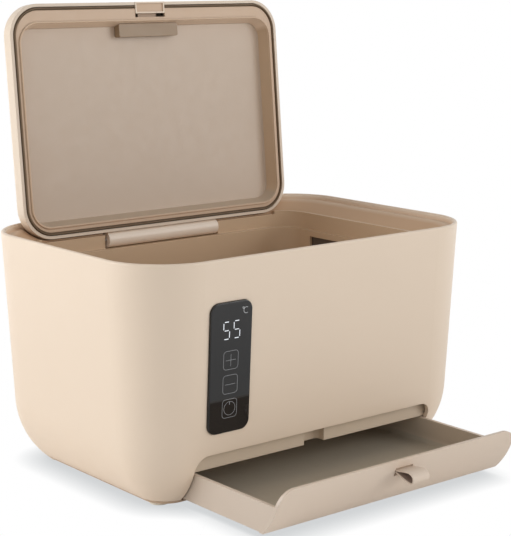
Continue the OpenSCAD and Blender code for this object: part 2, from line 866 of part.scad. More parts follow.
module display_board() color([0.10, 0.30, 0.16])
  on_front(-panel_x, panel_z)
    difference() {
      translate([0, 0, -4.1])
        linear_extrude(height = 1.2) plan(lamp_board_w, lamp_board_h, 2);
      for (sy = [-1, 1])
        translate([0, sy * peg_y, -6])
          cylinder(r = 1.35, h = 5);
    }

module digit_display() color([0.12, 0.12, 0.13])
  on_front(-panel_x, panel_z)
    translate([0, lamp_y, -2.9 + seat])
      linear_extrude(height = 1.5)
        square([lamp_w, lamp_h], center = true);

module touch_pad(k) color([0.75, 0.62, 0.35])
  on_front(-panel_x, panel_z)
    translate([0, key_top - key_step * k, -2.9 + seat])
      cylinder(r = key_r, h = 1.5);

module plus_touch_pad() touch_pad(0);
module minus_touch_pad() touch_pad(1);
module power_touch_pad() touch_pad(2);

module side_vent(sx) color([0.22, 0.20, 0.19])
  difference() {
    translate([sx * (well_w / 2 + tub_t + seat + 0.6), 0, ledge_z - 3.8 - vent_h / 2 - 0.9])
      cube([1.2, vent_l + 8, vent_h + 4.6], center = true);
    for (k = [-4 : 4])
      translate([sx * (well_w / 2 + tub_t + seat), k * vent_l / 10, ledge_z - 3.8 - vent_h / 2])
        cube([1, 3, vent_h - 8], center = true);
  }

module side_vent_left() side_vent(-1);
module side_vent_right() side_vent(1);

module heat_plate() color([0.78, 0.79, 0.80])
  difference() {
    slab(plate_w, plate_d, plate_r, tub_floor - seat - plate_t, tub_floor - seat);
    heater_posts();
  }

module heating_film() color([0.72, 0.42, 0.16])
  difference() {
    slab(plate_w - 6, plate_d - 6, plate_r - 2, film_z, film_z + 0.5);
    heater_posts();
    sensor_hole();
  }

module insulation_pad() color([0.90, 0.90, 0.88])
  difference() {
    slab(plate_w, plate_d, plate_r, pad_z, pad_z + pad_t);
    heater_posts();
    sensor_hole();
    translate([-sensor_x, 0, tub_floor - 5]) cube([fuse_w + 0.6, fuse_d + 0.6, 3 * pad_t], center = true);
  }

module sensor_hole()
  translate([sensor_x, 0, pad_z - 3])
    cylinder(r = sensor_r + 0.3, h = pad_t + 6);

module heater_posts()
  for (sx = [-1, 1])
    for (sy = [-1, 1])
      translate([sx * heat_post_x, sy * heat_post_y, pad_z - 5])
        cylinder(r = 3.2, h = tub_floor - pad_z + 7);

module temperature_sensor() color([0.15, 0.15, 0.16])
  translate([sensor_x, 0, film_z - 5.3])
    cylinder(r = sensor_r, h = 5.8);

module thermal_fuse() color([0.86, 0.86, 0.84])
  translate([-sensor_x, 0, film_z - 2.7])
    cube([fuse_w, fuse_d, 4.8], center = true);

module main_board() color([0.10, 0.30, 0.16])
  difference() {
    translate([-board_w / 2, board_y - board_d / 2, board_z])
      cube([board_w, board_d, 1.6]);
    for (sx = [-1, 1])
      for (sy = [-1, 1])
        translate([sx * (board_w / 2 - 4), board_y + sy * (board_d / 2 - 4), board_z - 1])
          cylinder(r = 1.35, h = 4);
  }

module power_relay() color([0.12, 0.20, 0.38])
  translate([-24, board_y - 8, board_z + 1.6 + seat])
    cube([20, 16, 4.4]);

module filter_capacitor() color([0.15, 0.15, 0.20])
  translate([18, board_y, board_z + 1.6 + seat])
    cylinder(r = 5, h = 4.4);

module power_inlet() color([0.10, 0.10, 0.11]) {
  y1 = body_d / 2 - inlet_inset();
  translate([inlet_x, 0, inlet_z])
    difference() {
      union() {
        translate([0, y1 + seat, 0])
          rotate([-90, 0, 0])
            cylinder(r = 6, h = 0.9);
        translate([0, y1 - 9, 0])
          rotate([-90, 0, 0])
            cylinder(r = 4.1, h = 9.6);
        translate([-5.5, y1 - 14, -5])
          cube([11, 9.5, 10]);
      }
      translate([0, y1 - 9, 0])
        rotate([-90, 0, 0])
          cylinder(r = 2.9, h = 12);
    }
}

// slab that follows the front skin between offsets a and b
module front_skin(a, b, z0, z1, w) {
  rotate([0, 0, -90])
    translate([half_d, 0, 0])
      rotate([90, 0, 0])
        linear_extrude(height = w, center = true)
          difference() {
            skin_section(a, z0, z1);
            if (b > a) skin_section(b, z0 - 1, z1 + 1);
          }
}

module drawer_tray() color([0.85, 0.77, 0.68])
  translate([0, -drawer_out, 0]) {
    ay = pull_slot_y();
    difference() {
      union() {
        // curved front with rounded upper corners
        intersection() {
          front_skin(0, tray_t, front_bottom, front_top + 1, front_w + 2);
          translate([0, 0, -front_top])
            rotate([90, 0, 0])
              linear_extrude(height = body_d)
                plan(front_w, 4 * front_top, slot_r + 1.5);
        }
        // side walls, floor and back
        difference() {
          union() {
            front_skin(1.2, 0, tray_z, tray_side_z, tray_w);
            translate([-tray_w / 2, -half_d - 8, tray_z])
              cube([tray_w, half_d + 8 + tray_back, tray_side_z - tray_z]);
          }
          intersection() {
            translate([0, tray_back - tray_t, tray_z + tray_t])
              rotate([90, 0, 0])
                linear_extrude(height = body_d)
                  translate([0, rim_z / 2]) plan(tray_w - 2 * tray_t, rim_z, 4);
            union() {
              front_skin(tray_t, 0, tray_z, tray_side_z + 2, tray_w);
              translate([-tray_w / 2, -half_d - 4, tray_z])
                cube([tray_w, half_d + 4 + tray_back, tray_side_z]);
            }
          }
        }
        // stops at the back corners
        for (sx = [-1, 1])
          translate([sx * (tray_w / 2 - 5) - 2.4, tray_back - tray_t, tray_side_z - 2])
            cube([4.8, tray_t, 6]);
      }
      // slot for the pull strap
      translate([-pull_w / 2 - 0.3, ay - 6, pull_z - strap_h / 2 - 0.3])
        cube([pull_w + 0.6, 12, strap_h + 1]);
    }
  }

function skin_inset(z) = corner_r - curl_s - sqrt(belly_r * belly_r - (z - curl_z) * (z - curl_z));
function pull_slot_y() = -body_d / 2 + skin_inset(pull_z);

module drawer_pull() color([0.84, 0.76, 0.67])
  translate([0, -drawer_out + pull_slot_y(), pull_z]) {
    rotate([90, 0, -90])
      linear_extrude(height = pull_w, center = true)
        strap_section();
    // anchor behind the drawer front
    translate([-anchor_w / 2, 4.7, -3.6])
      cube([anchor_w, 1.3, 7.2]);
  }

// teardrop loop: x is the distance in front of the drawer, y is height
module strap_section() {
  difference() {
    hull() {
      translate([pull_reach - loop_r, strap_h / 2 - loop_r]) circle(loop_r, $fn = 32);
      translate([0.3, -strap_h / 2]) square([0.6, strap_h]);
    }
    hull() {
      translate([pull_reach - loop_r, strap_h / 2 - loop_r]) circle(loop_r - strap_t, $fn = 24);
      translate([2.4, strap_h / 2 - strap_t - 0.35]) circle(0.35, $fn = 12);
    }
  }
  translate([-5.2, -strap_h / 2]) square([5.7, strap_h]);
}
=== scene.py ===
"""Looks of a countertop wipe warmer with a hinged lid and a drawer.

Everything is in metres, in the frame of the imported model: X along the width, the front
faces -Y, Z up, and the floor at z = 0.
"""

import math

import bmesh
import bpy
from mathutils import Matrix, Vector


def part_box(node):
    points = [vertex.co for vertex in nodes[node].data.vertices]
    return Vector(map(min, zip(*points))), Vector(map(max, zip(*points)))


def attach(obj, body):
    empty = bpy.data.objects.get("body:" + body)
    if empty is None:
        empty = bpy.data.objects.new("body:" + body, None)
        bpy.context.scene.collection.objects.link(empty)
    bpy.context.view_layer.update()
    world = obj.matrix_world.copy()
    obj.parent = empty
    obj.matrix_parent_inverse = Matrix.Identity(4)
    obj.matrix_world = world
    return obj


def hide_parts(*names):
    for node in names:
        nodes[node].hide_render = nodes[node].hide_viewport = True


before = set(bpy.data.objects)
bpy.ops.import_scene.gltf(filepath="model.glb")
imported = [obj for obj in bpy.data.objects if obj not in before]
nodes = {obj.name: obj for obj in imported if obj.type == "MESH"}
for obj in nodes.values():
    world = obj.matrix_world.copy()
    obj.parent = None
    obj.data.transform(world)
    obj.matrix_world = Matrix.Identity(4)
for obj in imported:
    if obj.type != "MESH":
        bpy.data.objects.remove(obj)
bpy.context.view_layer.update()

MM = 0.001
LEFT, RIGHT = (-1, 0, 0), (1, 0, 0)
UP, DOWN = (0, 0, 1), (0, 0, -1)
ORIGIN = (0, 0, 0)
WHITE, BLACK = (1, 1, 1, 1), (0, 0, 0, 1)

# Lean of the outer walls, from the rim down to the height where they curl under
TAPER = 5.5 * MM
TAPER_HEIGHT = 102 * MM
LEAN = math.atan(TAPER / TAPER_HEIGHT)

# Distance of the panel's front face from the panel's middle
PANEL_FACE = 1.25 * MM

# Lid in the rest pose: how far it is open, the point it turns about, and how far the band
# round its underside lies from that point
LID_OPEN = math.radians(95.4)
HINGE = Vector((0, 0.0742, 0.1251))
LID_UNDERSIDE = 3.9 * MM


def add_object(name, data):
    """New object of the scene, made of data."""
    thing = bpy.data.objects.new(name, data)
    bpy.context.scene.collection.objects.link(thing)
    return thing


# ---------------------------------------------------------------- colours and shader nodes


def srgb(r, g, b):
    """Linear colour from display values between 0 and 255."""

    def linear(v):
        v /= 255
        return v / 12.92 if v <= 0.04045 else ((v + 0.055) / 1.055) ** 2.4

    return (linear(r), linear(g), linear(b), 1.0)


def scaled(colour, k):
    """The colour made k times as bright."""
    return (colour[0] * k, colour[1] * k, colour[2] * k, 1.0)


def new_material(name):
    """An empty node material with a surface shader: (material, tree, shader)."""
    mat = bpy.data.materials.new(name)
    mat.use_nodes = True
    tree = mat.node_tree
    tree.nodes.clear()
    out = tree.nodes.new("ShaderNodeOutputMaterial")
    surface = tree.nodes.new("ShaderNodeBsdfPrincipled")
    tree.links.new(surface.outputs[0], out.inputs["Surface"])
    return mat, tree, surface


def feed(tree, value, socket):
    """Links the value to the socket if it is a socket too, and else sets the socket to it."""
    if isinstance(value, bpy.types.NodeSocket):
        tree.links.new(value, socket)
    else:
        socket.default_value = value


def coordinate(tree, kind):
    """Texture coordinate of that kind: Object, Normal or Generated."""
    return tree.nodes.new("ShaderNodeTexCoord").outputs[kind]


def noise(tree, scale, detail=2, stretch=(1, 1, 1)):
    """Noise in the object's own coordinates, with scale in lumps per metre."""
    mapping = tree.nodes.new("ShaderNodeMapping")
    mapping.inputs["Scale"].default_value = stretch
    texture = tree.nodes.new("ShaderNodeTexNoise")
    texture.inputs["Scale"].default_value = scale
    texture.inputs["Detail"].default_value = detail
    tree.links.new(coordinate(tree, "Object"), mapping.inputs["Vector"])
    tree.links.new(mapping.outputs[0], texture.inputs["Vector"])
    return texture.outputs["Fac"]


def spread(tree, value, low, high, start=0.3, end=0.7):
    """Maps start to low and end to high; the default start and end suit a noise value."""
    node = tree.nodes.new("ShaderNodeMapRange")
    node.inputs["From Min"].default_value = start
    node.inputs["From Max"].default_value = end
    node.inputs["To Min"].default_value = low
    node.inputs["To Max"].default_value = high
    tree.links.new(value, node.inputs["Value"])
    return node.outputs[0]


def blend(tree, factor, first, second, kind="MIX"):
    """Colour between first and second; each value may be a socket."""
    node = tree.nodes.new("ShaderNodeMix")
    node.data_type = "RGBA"
    node.blend_type = kind
    feed(tree, factor, node.inputs["Factor"])
    feed(tree, first, node.inputs[6])
    feed(tree, second, node.inputs[7])
    return node.outputs[2]


def varied(tree, factor, colour, change):
    """The colour, darker by change where factor is 0 and lighter by it where factor is 1."""
    return blend(tree, factor, scaled(colour, 1 - change), scaled(colour, 1 + change))


def combine(tree, operation, first, second=0):
    """Result of the operation on two numbers; each may be a socket."""
    node = tree.nodes.new("ShaderNodeMath")
    node.operation = operation
    feed(tree, first, node.inputs[0])
    feed(tree, second, node.inputs[1])
    return node.outputs[0]


def vector_math(tree, operation, first, second=ORIGIN):
    """Node that does the operation on two vectors; each may be a socket."""
    node = tree.nodes.new("ShaderNodeVectorMath")
    node.operation = operation
    feed(tree, first, node.inputs[0])
    feed(tree, second, node.inputs[1])
    return node


def dot(tree, first, second):
    """Dot product of two vectors."""
    return vector_math(tree, "DOT_PRODUCT", first, second).outputs["Value"]


def mix_shaders(tree, factor, first, second):
    """The first shader where factor is 0 and the second where it is 1."""
    node = tree.nodes.new("ShaderNodeMixShader")
    for output, socket in zip((factor, first, second), node.inputs):
        tree.links.new(output, socket)
    return node.outputs[0]


def rounded_normal(tree, radius):
    """Normal that rounds the edges of a surface by radius."""
    node = tree.nodes.new("ShaderNodeBevel")
    node.samples = BEVEL_SAMPLES
    node.inputs["Radius"].default_value = radius
    return node.outputs[0]


def bump(tree, height, strength, depth, normal=None):
    """Bump from a height value between 0 and 1, depth metres deep."""
    node = tree.nodes.new("ShaderNodeBump")
    node.inputs["Strength"].default_value = strength
    node.inputs["Distance"].default_value = depth
    tree.links.new(height, node.inputs["Height"])
    if normal is not None:
        tree.links.new(normal, node.inputs["Normal"])
    return node.outputs[0]


# ---------------------------------------------------------------- camera and light

# Camera at the photograph's viewing angle: place, lens and film width in millimetres, pitch
# and yaw in degrees, and the nearest distance that it sees
CAMERA_PLACE = (-0.5710, -0.7222, 0.2905)
CAMERA_LENS, CAMERA_FILM = 104.3, 36
CAMERA_PITCH, CAMERA_YAW = 10.904, 39.161
CAMERA_NEAR = 0.01

# Soft boxes: place, size and power, and the point they shine at
SOFT_BOXES = {
    "key_left": ((-1.21, 0.70, 0.50), (0.9, 0.9), 10.2),
    "fill_front": ((0.92, -1.31, 0.55), (0.9, 0.9), 7.1),
}
LIT_POINT = (0, 0, 0.07)

# Sky that lights the object: its colour, its strength at the horizon and high up, and the
# upward part of the direction from which on it is high up
SKY_COLOUR = (0.8, 0.8, 0.8, 1)
SKY_LOW, SKY_HIGH = 1.26, 0.46
SKY_TOP = 0.8

# Floor: half its side and its colour
FLOOR_HALF = 30
FLOOR_COLOUR = (0.92, 0.92, 0.915, 1)

# Glow of the floor in mirror images: its strength near the object and far from it, and the
# distances from the origin that count as near and far
GLOW_WEAK, GLOW_FULL = 0.16, 1.0
GLOW_NEAR, GLOW_FAR = 0.25, 1.5

# Contact shadow: reach, colour, the openness at which it is darkest and gone, and samples
# of the openness
SHADOW_REACH = 0.019
SHADOW_COLOUR = (0.64, 0.655, 0.665, 1)
SHADOW_DARKEST, SHADOW_GONE = 0.2, 0.86
SHADOW_SAMPLES = 24


def make_camera():
    """Camera at the photograph's viewing angle."""
    data = bpy.data.cameras.new("camera")
    data.lens = CAMERA_LENS
    data.sensor_width = CAMERA_FILM
    data.clip_start = CAMERA_NEAR
    camera = add_object("camera", data)
    camera.location = CAMERA_PLACE
    camera.rotation_euler = (math.radians(90 - CAMERA_PITCH), 0, math.radians(-CAMERA_YAW))
    bpy.context.scene.camera = camera


def make_lights():
    """Soft boxes that shine at the object."""
    for name, (place, size, power) in SOFT_BOXES.items():
        data = bpy.data.lights.new(name, "AREA")
        data.shape = "RECTANGLE"
        data.size, data.size_y = size
        data.energy = power
        lamp = add_object(name, data)
        lamp.location = place
        aim = Vector(LIT_POINT) - Vector(place)
        lamp.rotation_euler = aim.to_track_quat("-Z", "Y").to_euler()


def seen_rays(tree):
    """1 for camera, mirror and see-through rays, 0 for rays that only light things."""
    path = tree.nodes.new("ShaderNodeLightPath")
    first = combine(tree, "MAXIMUM", path.outputs["Is Camera Ray"], path.outputs["Is Glossy Ray"])
    return combine(tree, "MAXIMUM", first, path.outputs["Is Transmission Ray"])


def background(tree, colour, strength):
    """Background of that colour and strength; the strength may be a socket."""
    node = tree.nodes.new("ShaderNodeBackground")
    node.inputs["Color"].default_value = colour
    feed(tree, strength, node.inputs["Strength"])
    return node.outputs[0]


def make_world():
    """White where it is seen, a plain pale fill where it lights the object."""
    world = bpy.data.worlds.new("studio")
    bpy.context.scene.world = world
    world.use_nodes = True
    tree = world.node_tree
    tree.nodes.clear()
    height = dot(tree, coordinate(tree, "Generated"), UP)
    fill = background(tree, SKY_COLOUR, spread(tree, height, SKY_LOW, SKY_HIGH, 0, SKY_TOP))
    seen = background(tree, WHITE, 1)
    out = tree.nodes.new("ShaderNodeOutputWorld")
    tree.links.new(mix_shaders(tree, seen_rays(tree), fill, seen), out.inputs["Surface"])


def floor_material():
    """Pale where it lights the object, a white glow in mirror images, and a shadow when seen."""
    mat, tree, surface = new_material("floor")
    surface.inputs["Base Color"].default_value = FLOOR_COLOUR
    surface.inputs["Roughness"].default_value = 0.8
    surface.inputs["Specular IOR Level"].default_value = 0.1
    path = tree.nodes.new("ShaderNodeLightPath")
    distance = vector_math(tree, "LENGTH", coordinate(tree, "Object")).outputs["Value"]
    glow = spread(tree, distance, GLOW_WEAK, GLOW_FULL, GLOW_NEAR, GLOW_FAR)
    mirrored = combine(tree, "MULTIPLY", glow, path.outputs["Is Glossy Ray"])
    surface.inputs["Emission Color"].default_value = WHITE
    tree.links.new(mirrored, surface.inputs["Emission Strength"])

    openness = tree.nodes.new("ShaderNodeAmbientOcclusion")
    openness.samples = SHADOW_SAMPLES
    openness.inputs["Distance"].default_value = SHADOW_REACH
    lit = spread(tree, openness.outputs["AO"], 0, 1, SHADOW_DARKEST, SHADOW_GONE)
    seen = tree.nodes.new("ShaderNodeEmission")
    tree.links.new(blend(tree, lit, SHADOW_COLOUR, WHITE), seen.inputs["Color"])
    choice = mix_shaders(tree, path.outputs["Is Camera Ray"], surface.outputs[0], seen.outputs[0])
    tree.links.new(choice, tree.nodes["Material Output"].inputs["Surface"])
    return mat


def make_floor():
    """Wide floor under the feet."""
    half = FLOOR_HALF
    corners = [(-half, -half, 0), (half, -half, 0), (half, half, 0), (-half, half, 0)]
    mesh = bpy.data.meshes.new("floor")
    mesh.from_pydata(corners, [], [(0, 1, 2, 3)])
    mesh.materials.append(floor_material())
    floor = add_object("floor", mesh)


# ---------------------------------------------------------------- materials

# Colours of the moulded plastics, and of the painted shade and painted light on some of their
# faces
BEIGE = srgb(229, 210, 189)
# Greyer beige of the hinge barrel, made lighter as painted light
GREY_BEIGE_PAINTED_LIGHT = srgb(241, 225, 208)
RECESS = srgb(192, 172, 152)
# Tan: the base plate's colour, and painted shade on the walls of the lid's pan and on the tab
# behind its front
TAN = srgb(199, 170, 142)
# Walls of the lid's pan: painted shade on those facing left, painted light on those facing up and
# down
LINER_PAINTED_SHADE = srgb(200, 172, 142)
LINER_LOW_PAINTED_LIGHT = srgb(190, 170, 148)
LINER_HIGH_PAINTED_LIGHT = srgb(230, 206, 182)
# Painted shade inside the housing's rim
MOUTH_PAINTED_SHADE = srgb(203, 169, 137)
# Painted shade all over the compartment tub and hinge mounts
TUB_PAINTED_SHADE = srgb(206, 178, 147)
TRAY = srgb(222, 204, 186)
# Painted shade on the drawer's outer ends, inner walls and floor
TRAY_END_PAINTED_SHADE = srgb(202, 186, 170)
TRAY_WALL_PAINTED_SHADE = srgb(200, 184, 165)
TRAY_FLOOR_PAINTED_SHADE = srgb(188, 177, 159)
LID = srgb(220, 202, 182)
BLOCK = srgb(148, 124, 97)

# Moulded plastic: size, depth and strength of the grain, and then lumps per metre and change
# of the roughness and of the flow marks
GRAIN_SIZE, GRAIN_DEPTH, GRAIN_STRENGTH = 0.35 * MM, 0.02 * MM, 0.35
ROUGH_SCALE, ROUGH_CHANGE = 160, 0.04
FLOW_SCALE, FLOW_CHANGE = 14, 0.015

# Softened edges: radius, brightness of their painted highlight against the faces, and the cosine
# between the rounded and the true normal at which an edge is full and none
EDGE_RADIUS = 0.4 * MM
EDGE_HIGHLIGHT_GAIN = 1.16
EDGE_FULL, EDGE_NONE = 0.80, 0.985
BEVEL_SAMPLES = 6

# A face is turned towards a middle line if the way from the line to it, measured along its
# normal, is FACING_SURE or less, and isn't if it is FACING_NONE or more
FACING_SURE, FACING_NONE = -0.012, -0.002

# Painted shade of the housing: upward part of the normal between an upright wall and the
# mouth's slope, and the heights between which the painted shade begins and ends
MOUTH_SLOPE = (0.1, 0.2)
MOUTH_FOOT = (0.06, 0.07)
MOUTH_TOP = (0.1350, 0.1388)

# Lid: where its pan's floor begins after the painted light and shade of the walls, and where the
# tab's painted shade begins, in millimetres behind its band
RECESS_DEPTH = (7.6, 8.0)
TAB_DEPTH = (0.2, 0.4)

# Pan of the lid: its edges and the gain of their painted highlight, the change of its floor by
# flow marks, and its walls' painted light and shade by the side they face, with the part of the
# normal that way between other walls and these
LINER_EDGE, LINER_HIGHLIGHT_GAIN = 0.6 * MM, 1.3
RECESS_CHANGE = 0.02
LINER_PAINTED_WALLS = (
    (LEFT, LINER_PAINTED_SHADE, (0.2, 0.6)),
    (UP, LINER_LOW_PAINTED_LIGHT, (0.35, 0.6)),
    (DOWN, LINER_HIGH_PAINTED_LIGHT, (0.35, 0.6)),
)

# Painted shade of the drawer: its middle line, the heights between which the shade of its floor
# ends, the upward part of the normal between walls and floor, and the sideways part between
# front and ends
TRAY_MIDDLE = (0, -0.045, 0)
TRAY_FLOOR_TOP = (0.010, 0.012)
TRAY_FLOOR_TURN = (0.4, 0.6)
TRAY_END_TURN = (0.75, 0.95)


def facing_in(tree, centre):
    """1 on surfaces that face the upright line through centre, 0 on those that face away."""
    away = vector_math(tree, "SUBTRACT", coordinate(tree, "Object"), centre)
    flat = vector_math(tree, "MULTIPLY", away.outputs[0], (1, 1, 0))
    reach = dot(tree, flat.outputs[0], coordinate(tree, "Normal"))
    return spread(tree, reach, 1, 0, FACING_SURE, FACING_NONE)


def mouth(tree):
    """1 inside the housing's rim, where its shade is painted: its inner walls and the sloping
    mouth.
    """
    slope = spread(tree, dot(tree, coordinate(tree, "Normal"), UP), 0, 1, *MOUTH_SLOPE)
    height = dot(tree, coordinate(tree, "Object"), UP)
    below = spread(tree, height, 1, 0, *MOUTH_TOP)
    above = spread(tree, height, 0, 1, *MOUTH_FOOT)
    inner = combine(tree, "MAXIMUM", slope, facing_in(tree, ORIGIN))
    return combine(tree, "MULTIPLY", combine(tree, "MULTIPLY", inner, below), above)


def lid_depth(tree, start, end):
    """0 to 1 between two depths, in millimetres, behind the open lid's band."""
    inward = Vector((0, math.sin(LID_OPEN), math.cos(LID_OPEN)))
    along = dot(tree, coordinate(tree, "Object"), inward)
    band = HINGE.dot(inward) - LID_UNDERSIDE
    return spread(tree, along, 0, 1, band + start * MM, band + end * MM)


def tab_inside(tree):
    """1 on the latch tab behind its front face, where its shade is painted."""
    return lid_depth(tree, *TAB_DEPTH)


def moulded_parts(name, rough, edge=EDGE_RADIUS):
    """Moulded plastic without its colour: fine surface grain and softened edges.

    The last value returned is 1 along the softened edges.
    """
    mat, tree, surface = new_material(name)
    lumps = noise(tree, ROUGH_SCALE, detail=3)
    uneven = spread(tree, lumps, rough - ROUGH_CHANGE, rough + ROUGH_CHANGE)
    tree.links.new(uneven, surface.inputs["Roughness"])
    soft = rounded_normal(tree, edge)
    grain = bump(tree, noise(tree, 1 / GRAIN_SIZE), GRAIN_STRENGTH, GRAIN_DEPTH, soft)
    tree.links.new(grain, surface.inputs["Normal"])
    geometry = tree.nodes.new("ShaderNodeNewGeometry")
    turn = dot(tree, soft, geometry.outputs["Normal"])
    return mat, tree, surface, spread(tree, turn, 1, 0, EDGE_FULL, EDGE_NONE)


def painted_edge_highlight(tree, edges, tint, highlight_gain=EDGE_HIGHLIGHT_GAIN):
    """The colour tint, highlight_gain times as bright along the edges: a painted highlight."""
    lighter = blend(tree, 1, tint, (highlight_gain, highlight_gain, highlight_gain, 1), "MULTIPLY")
    return blend(tree, edges, tint, lighter)


def moulded(name, colour, rough, second=None, second_rough=None, where=None, highlight_gain=EDGE_HIGHLIGHT_GAIN):
    """Moulded plastic with faint flow marks and a painted highlight along its edges.

    where picks out the faces that have the second colour, a painted shade, and the second
    roughness.
    """
    mat, tree, surface, edges = moulded_parts(name, rough)
    flow = noise(tree, FLOW_SCALE)
    tint = varied(tree, flow, colour, FLOW_CHANGE)
    if where:
        picked = where(tree)
        tint = blend(tree, picked, tint, varied(tree, flow, second, FLOW_CHANGE))
        if second_rough:
            uneven = surface.inputs["Roughness"].links[0].from_socket
            shift = spread(tree, picked, 0, second_rough - rough, 0, 1)
            tree.links.new(combine(tree, "ADD", shift, uneven), surface.inputs["Roughness"])
    tree.links.new(painted_edge_highlight(tree, edges, tint, highlight_gain), surface.inputs["Base Color"])
    return mat


def liner_plastic():
    """Moulded plastic of the lid's inner pan: a greyer floor, and walls with painted light and
    shade by side.
    """
    mat, tree, surface, edges = moulded_parts("liner_plastic", 0.38, LINER_EDGE)
    flow = noise(tree, FLOW_SCALE)
    normal = coordinate(tree, "Normal")
    wall = varied(tree, flow, TAN, FLOW_CHANGE)
    for side, colour, turn in LINER_PAINTED_WALLS:
        wall = blend(tree, spread(tree, dot(tree, normal, side), 0, 1, *turn), wall, colour)
    recess = varied(tree, flow, RECESS, RECESS_CHANGE)
    tint = blend(tree, lid_depth(tree, *RECESS_DEPTH), wall, recess)
    tree.links.new(painted_edge_highlight(tree, edges, tint, LINER_HIGHLIGHT_GAIN), surface.inputs["Base Color"])
    return mat


def tray_plastic():
    """Moulded plastic of the drawer: outer ends, inner walls and floor each a little darker, as
    painted shade.
    """
    mat, tree, surface, edges = moulded_parts("tray_plastic", 0.42)
    normal = coordinate(tree, "Normal")
    height = dot(tree, coordinate(tree, "Object"), UP)
    sideways = combine(tree, "ABSOLUTE", dot(tree, normal, RIGHT))
    ends = spread(tree, sideways, 0, 1, *TRAY_END_TURN)
    up = spread(tree, dot(tree, normal, UP), 0, 1, *TRAY_FLOOR_TURN)
    low = spread(tree, height, 1, 0, *TRAY_FLOOR_TOP)
    tint = blend(tree, ends, TRAY, TRAY_END_PAINTED_SHADE)
    tint = blend(tree, facing_in(tree, TRAY_MIDDLE), tint, TRAY_WALL_PAINTED_SHADE)
    tint = blend(tree, combine(tree, "MULTIPLY", up, low), tint, TRAY_FLOOR_PAINTED_SHADE)
    flow = spread(tree, noise(tree, FLOW_SCALE), 0, 2 * FLOW_CHANGE, 0, 1)
    tint = blend(tree, flow, tint, BLACK)
    tree.links.new(painted_edge_highlight(tree, edges, tint), surface.inputs["Base Color"])
    return mat


def gloss_black():
    """Glossy dark film of the touch panel, with a few faint wipe marks."""
    mat, tree, surface = new_material("panel_gloss")
    dark, less_dark = (0.010, 0.010, 0.011, 1), (0.014, 0.013, 0.013, 1)
    tree.links.new(blend(tree, noise(tree, 30), dark, less_dark), surface.inputs["Base Color"])
    smear = noise(tree, 55, detail=4, stretch=(1, 1, 0.25))
    tree.links.new(spread(tree, smear, low=0.015, high=0.05), surface.inputs["Roughness"])
    tree.links.new(rounded_normal(tree, 0.35 * MM), surface.inputs["Normal"])
    surface.inputs["IOR"].default_value = 1.49
    return mat


def rubber(name, colour, rough=0.75, change=0.16):
    """Soft matte rubber with a dusty bloom."""
    mat, tree, surface = new_material(name)
    bloom = noise(tree, 220, detail=5)
    tree.links.new(varied(tree, bloom, colour, change), surface.inputs["Base Color"])
    tree.links.new(spread(tree, bloom, rough - 0.08, rough + 0.1), surface.inputs["Roughness"])
    soft = rounded_normal(tree, 0.25 * MM)
    grain = bump(tree, noise(tree, 3500), strength=0.4, depth=0.03 * MM, normal=soft)
    tree.links.new(grain, surface.inputs["Normal"])
    return mat


def metal(name, colour, rough, stretch=(1, 1, 12)):
    """Drawn or rolled metal with fine lines along one way."""
    mat, tree, surface = new_material(name)
    lines = noise(tree, 900, detail=3, stretch=stretch)
    tint = blend(tree, lines, scaled(colour, 0.88), scaled(colour, 1.06))
    soft = rounded_normal(tree, 0.15 * MM)
    relief = bump(tree, lines, strength=0.25, depth=0.01 * MM, normal=soft)
    surface.inputs["Metallic"].default_value = 1.0
    tree.links.new(tint, surface.inputs["Base Color"])
    tree.links.new(spread(tree, lines, rough - 0.07, rough + 0.1), surface.inputs["Roughness"])
    tree.links.new(relief, surface.inputs["Normal"])
    return mat


def circuit_board():
    """Green solder mask with raised tracks."""
    mat, tree, surface = new_material("circuit_board")
    tracks = tree.nodes.new("ShaderNodeTexBrick")
    tracks.inputs["Scale"].default_value = 120
    tracks.inputs["Mortar Size"].default_value = 0.06
    tracks.inputs["Color1"].default_value = srgb(16, 88, 52)
    tracks.inputs["Color2"].default_value = srgb(20, 98, 58)
    tracks.inputs["Mortar"].default_value = srgb(34, 128, 78)
    tree.links.new(coordinate(tree, "Object"), tracks.inputs["Vector"])
    tree.links.new(tracks.outputs["Color"], surface.inputs["Base Color"])
    relief = bump(tree, tracks.outputs["Fac"], strength=0.5, depth=0.05 * MM)
    tree.links.new(relief, surface.inputs["Normal"])
    surface.inputs["Roughness"].default_value = 0.35
    return mat


def heater_film():
    """Amber film with the darker winding of the heating track."""
    mat, tree, surface = new_material("heater_film")
    track = tree.nodes.new("ShaderNodeTexWave")
    track.inputs["Scale"].default_value = 60
    track.inputs["Distortion"].default_value = 0.4
    tree.links.new(coordinate(tree, "Object"), track.inputs["Vector"])
    tint = blend(tree, track.outputs["Fac"], srgb(176, 96, 30), srgb(222, 146, 62))
    tree.links.new(tint, surface.inputs["Base Color"])
    surface.inputs["Roughness"].default_value = 0.3
    return mat


def felt():
    """Pale needled felt."""
    mat, tree, surface = new_material("felt")
    fibres = noise(tree, 1400, detail=6, stretch=(1, 3, 8))
    tint = blend(tree, fibres, srgb(206, 204, 198), srgb(240, 239, 235))
    tree.links.new(tint, surface.inputs["Base Color"])
    relief = bump(tree, fibres, strength=0.8, depth=0.2 * MM)
    tree.links.new(relief, surface.inputs["Normal"])
    surface.inputs["Roughness"].default_value = 0.95
    surface.inputs["Sheen Weight"].default_value = 0.3
    return mat


def glowing(name, colour, strength):
    """Lit segment, back-lit print, or print with a faint painted glow: nearly even, a little
    weaker in places.
    """
    mat, tree, surface = new_material(name)
    surface.inputs["Base Color"].default_value = scaled(colour, 0.3)
    surface.inputs["Emission Color"].default_value = colour
    uneven = spread(tree, noise(tree, 240), strength * 0.85, strength * 1.05)
    tree.links.new(uneven, surface.inputs["Emission Strength"])
    surface.inputs["Roughness"].default_value = 0.2
    return mat


